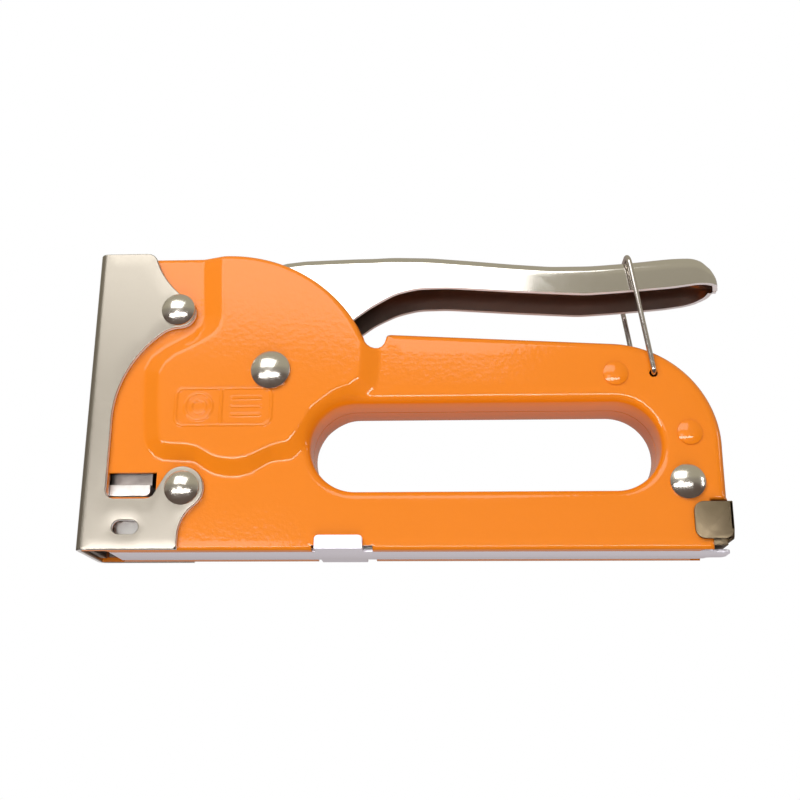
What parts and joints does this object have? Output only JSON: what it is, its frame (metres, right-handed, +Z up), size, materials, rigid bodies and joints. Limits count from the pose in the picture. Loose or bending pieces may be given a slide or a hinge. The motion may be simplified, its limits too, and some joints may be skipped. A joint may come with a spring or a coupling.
{
  "type": "staple gun",
  "caption": "Hand staple gun with a pressed-steel body, a finger opening, a chromed squeeze lever held down by a wire bail, and a pull-out magazine.",
  "frame": {"origin": "middle of the overall length and width, on the plane of the magazine's bottom face", "axes": "+X from the nose to the handle's tail, +Y across the tool, +Z up from the magazine to the handle"},
  "size_m": [0.148, 0.0254, 0.0713],
  "materials": {
    "orange_enamel": "gloss enamel with fine orange peel",
    "nose_steel": "satin nickel plate",
    "rivet_chrome": "polished",
    "lever_chrome": "polished",
    "bail_wire": "bright drawn wire",
    "rail_zinc": "bright zinc plate",
    "clip_steel": "yellowed satin zinc plate",
    "plunger_steel": "satin",
    "inner_steel": "satin",
    "spring_steel": "oiled spring wire",
    "bumper_rubber": "matt"
  },
  "bodies": {
    "frame": {"left_shell": "orange_enamel", "right_shell": "orange_enamel", "grip_rivets": "orange_enamel", "nose_plate": "nose_steel", "nose_rivet_upper": "rivet_chrome", "nose_rivet_lower": "rivet_chrome", "pivot_rivet": "rivet_chrome", "rear_rivet": "rivet_chrome", "pivot_bushing": "inner_steel", "rear_spacer": "inner_steel", "bumper": "bumper_rubber", "spring_seat": "inner_steel", "main_spring": "spring_steel", "lever_spring": "spring_steel", "staple_channel": "inner_steel"},
    "handle": {"lever": "lever_chrome"},
    "bail_loop": {"bail": "bail_wire"},
    "striker": {"plunger": "plunger_steel", "driver_blade": "inner_steel"},
    "rail": {"magazine_rail": "rail_zinc", "rail_core": "rail_zinc"},
    "pusher": {"rear_clip": "clip_steel", "pusher_rod": "inner_steel", "pusher_spring": "spring_steel"},
    "follower_saddle": {"follower": "plunger_steel"}
  },
  "joints": [
    {"name": "lever_pivot", "type": "hinge", "parent": "frame", "child": "handle", "pos_m": [-0.0315, 0, 0.0412], "axis": [0, 1, 0], "range_deg": [0, 3.6], "stiffness_Nm_per_rad": 1, "springref_deg": -17.19, "deforming": ["lever_spring"]},
    {"name": "bail_swing", "type": "hinge", "parent": "frame", "child": "bail_loop", "pos_m": [0.056, 0, 0.0403], "axis": [0, 1, 0], "range_deg": [0, 36]},
    {"name": "plunger_slide", "type": "slide", "parent": "frame", "child": "striker", "axis": [0, 0, 1], "range_m": [0, 0.011], "stiffness_N_per_m": 3000, "springref_m": -0.012, "deforming": ["main_spring"]},
    {"name": "rail_slide", "type": "slide", "parent": "frame", "child": "rail", "axis": [1, 0, 0], "range_m": [0, 0.002]},
    {"name": "pusher_pull", "type": "slide", "parent": "frame", "child": "pusher", "axis": [1, 0, 0], "range_m": [0, 0.1]},
    {"name": "follower_slide", "type": "slide", "parent": "pusher", "child": "follower_saddle", "axis": [1, 0, 0], "range_m": [0, 0.09], "stiffness_N_per_m": 40, "springref_m": -0.05, "deforming": ["pusher_spring"]}
  ],
  "couplings": [
    {"joint": "bail_swing", "follows": "lever_pivot", "ratio": 10}
  ]
}
